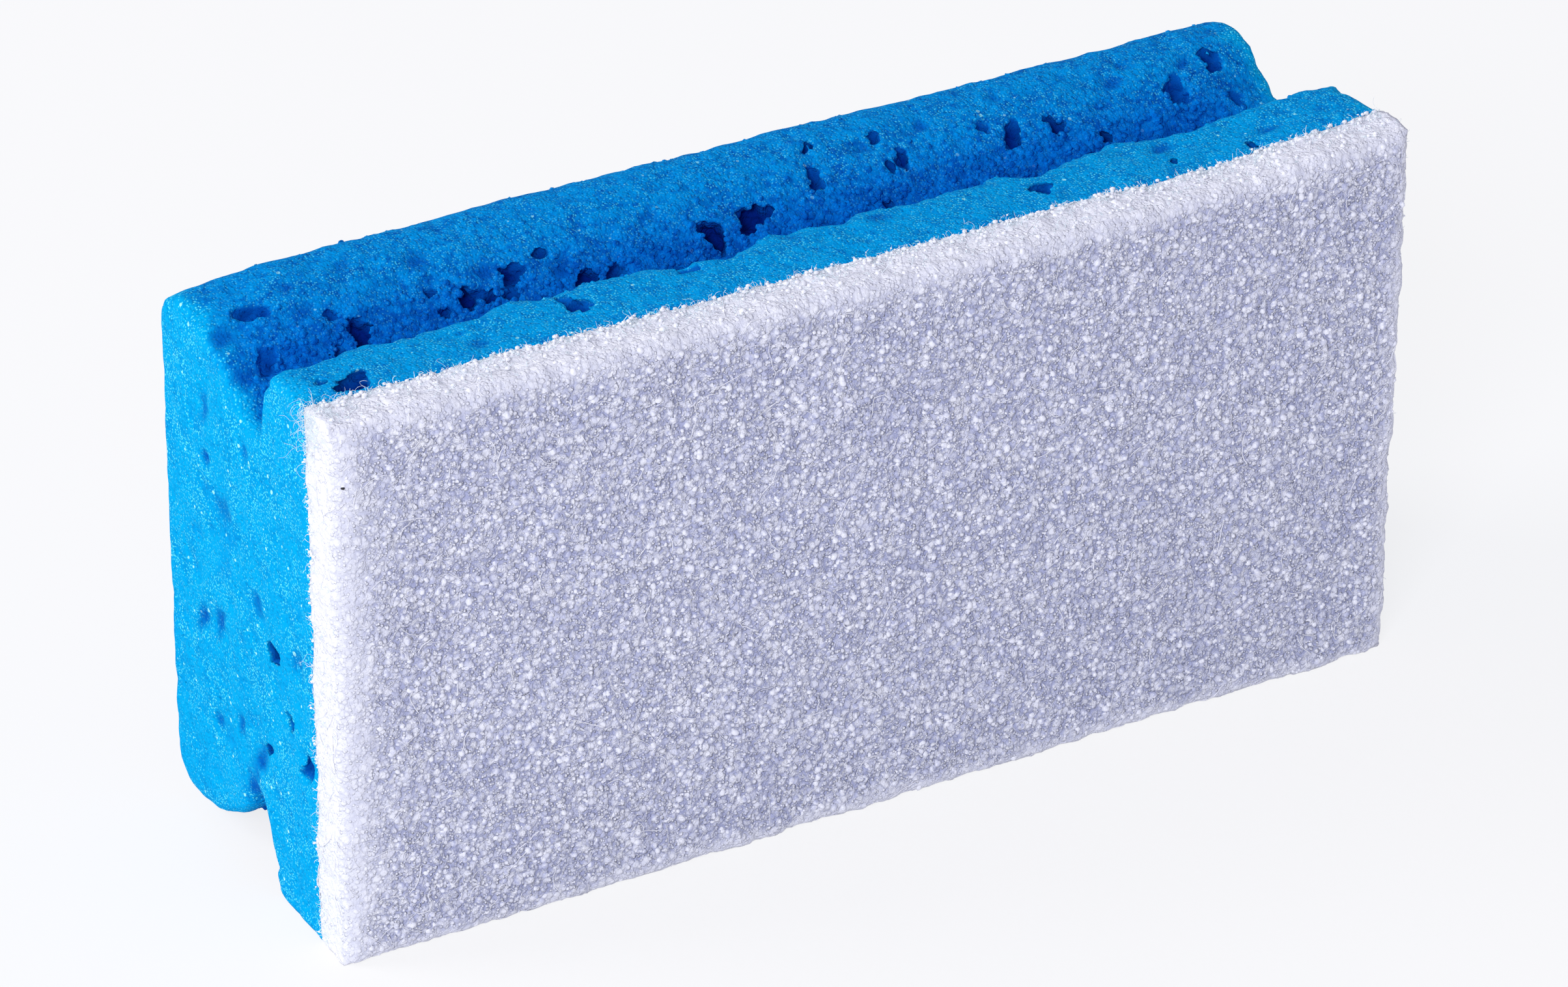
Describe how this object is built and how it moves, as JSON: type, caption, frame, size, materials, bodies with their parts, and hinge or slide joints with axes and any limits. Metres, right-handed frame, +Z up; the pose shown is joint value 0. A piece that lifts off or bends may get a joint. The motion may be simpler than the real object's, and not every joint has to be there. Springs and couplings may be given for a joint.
{
  "type": "cleaning sponge",
  "caption": "Rectangular foam cleaning sponge with a finger groove along each long side and a white non-woven scouring pad glued over the front.",
  "frame": {"origin": "middle of the footprint, on the surface that the sponge stands on", "axes": "+X along the length, -Y out of the scouring pad's face, +Z up, across the height of the standing sponge"},
  "size_m": [0.147, 0.045, 0.0715],
  "materials": {
    "foam": "soft open-cell foam, matte, with coarse open cells and bright specks where cell walls catch the light",
    "pad_fibre": "thick non-woven fibre, matte and nodular, with loose curled fibres at the edges"
  },
  "bodies": {
    "root": {"foam_block": "foam", "scouring_pad": "pad_fibre"}
  },
  "joints": []
}
